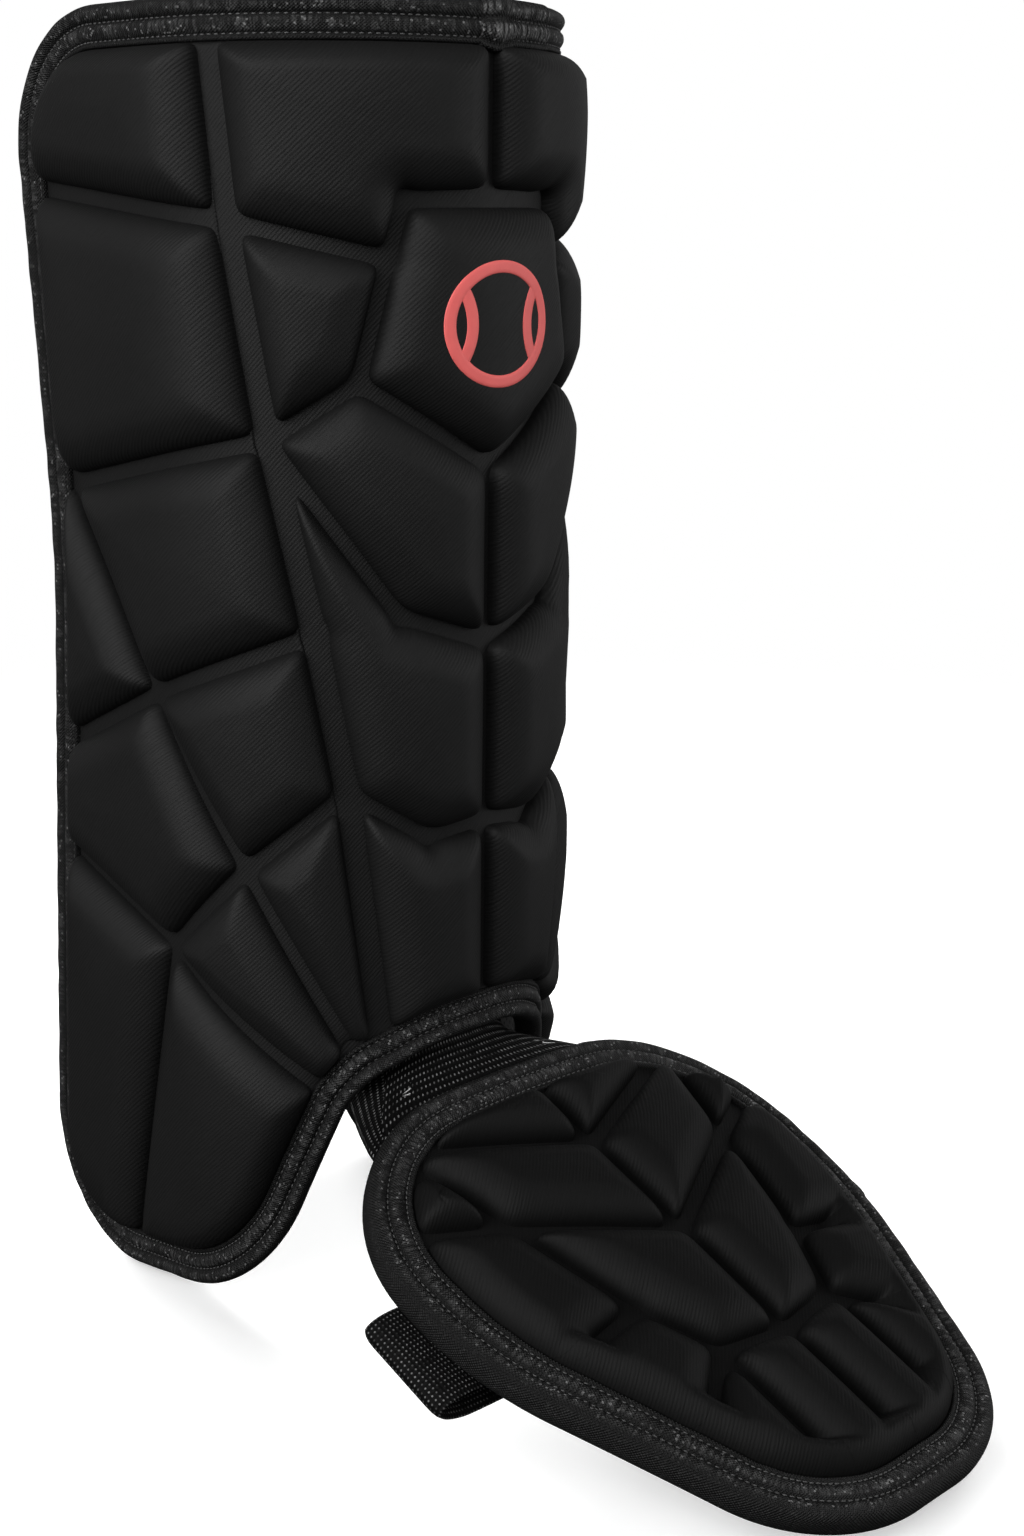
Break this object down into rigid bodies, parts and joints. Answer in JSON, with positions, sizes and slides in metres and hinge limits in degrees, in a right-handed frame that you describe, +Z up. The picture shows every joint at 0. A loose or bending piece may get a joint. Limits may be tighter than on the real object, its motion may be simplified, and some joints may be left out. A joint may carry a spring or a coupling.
{
  "type": "batters leg guard",
  "caption": "Moulded foam shin guard with raised pads, a foot panel on an elastic gusset, bound edges, stirrup and calf strap.",
  "frame": {"origin": "on the axis of the leg, at half the height of the shin panel", "axes": "+Z up the leg, -Y the way the shin faces, X across; the mirror plane is X = 0"},
  "size_m": [0.1618, 0.2871, 0.3409],
  "materials": {
    "foam_cloth": "matte laminated cloth with a fine twill over moulded foam",
    "knit_tape": "dull knitted binding tape",
    "elastic_webbing": "woven elastic webbing, dull",
    "coral_film": "satin heat-pressed film"
  },
  "bodies": {
    "root": {"shin_panel": "foam_cloth", "foot_panel": "foam_cloth", "shin_binding": "knit_tape", "foot_binding": "knit_tape", "ankle_elastic": "elastic_webbing", "stirrup_strap": "elastic_webbing", "calf_strap": "elastic_webbing", "shield_badge": "coral_film"}
  },
  "joints": []
}
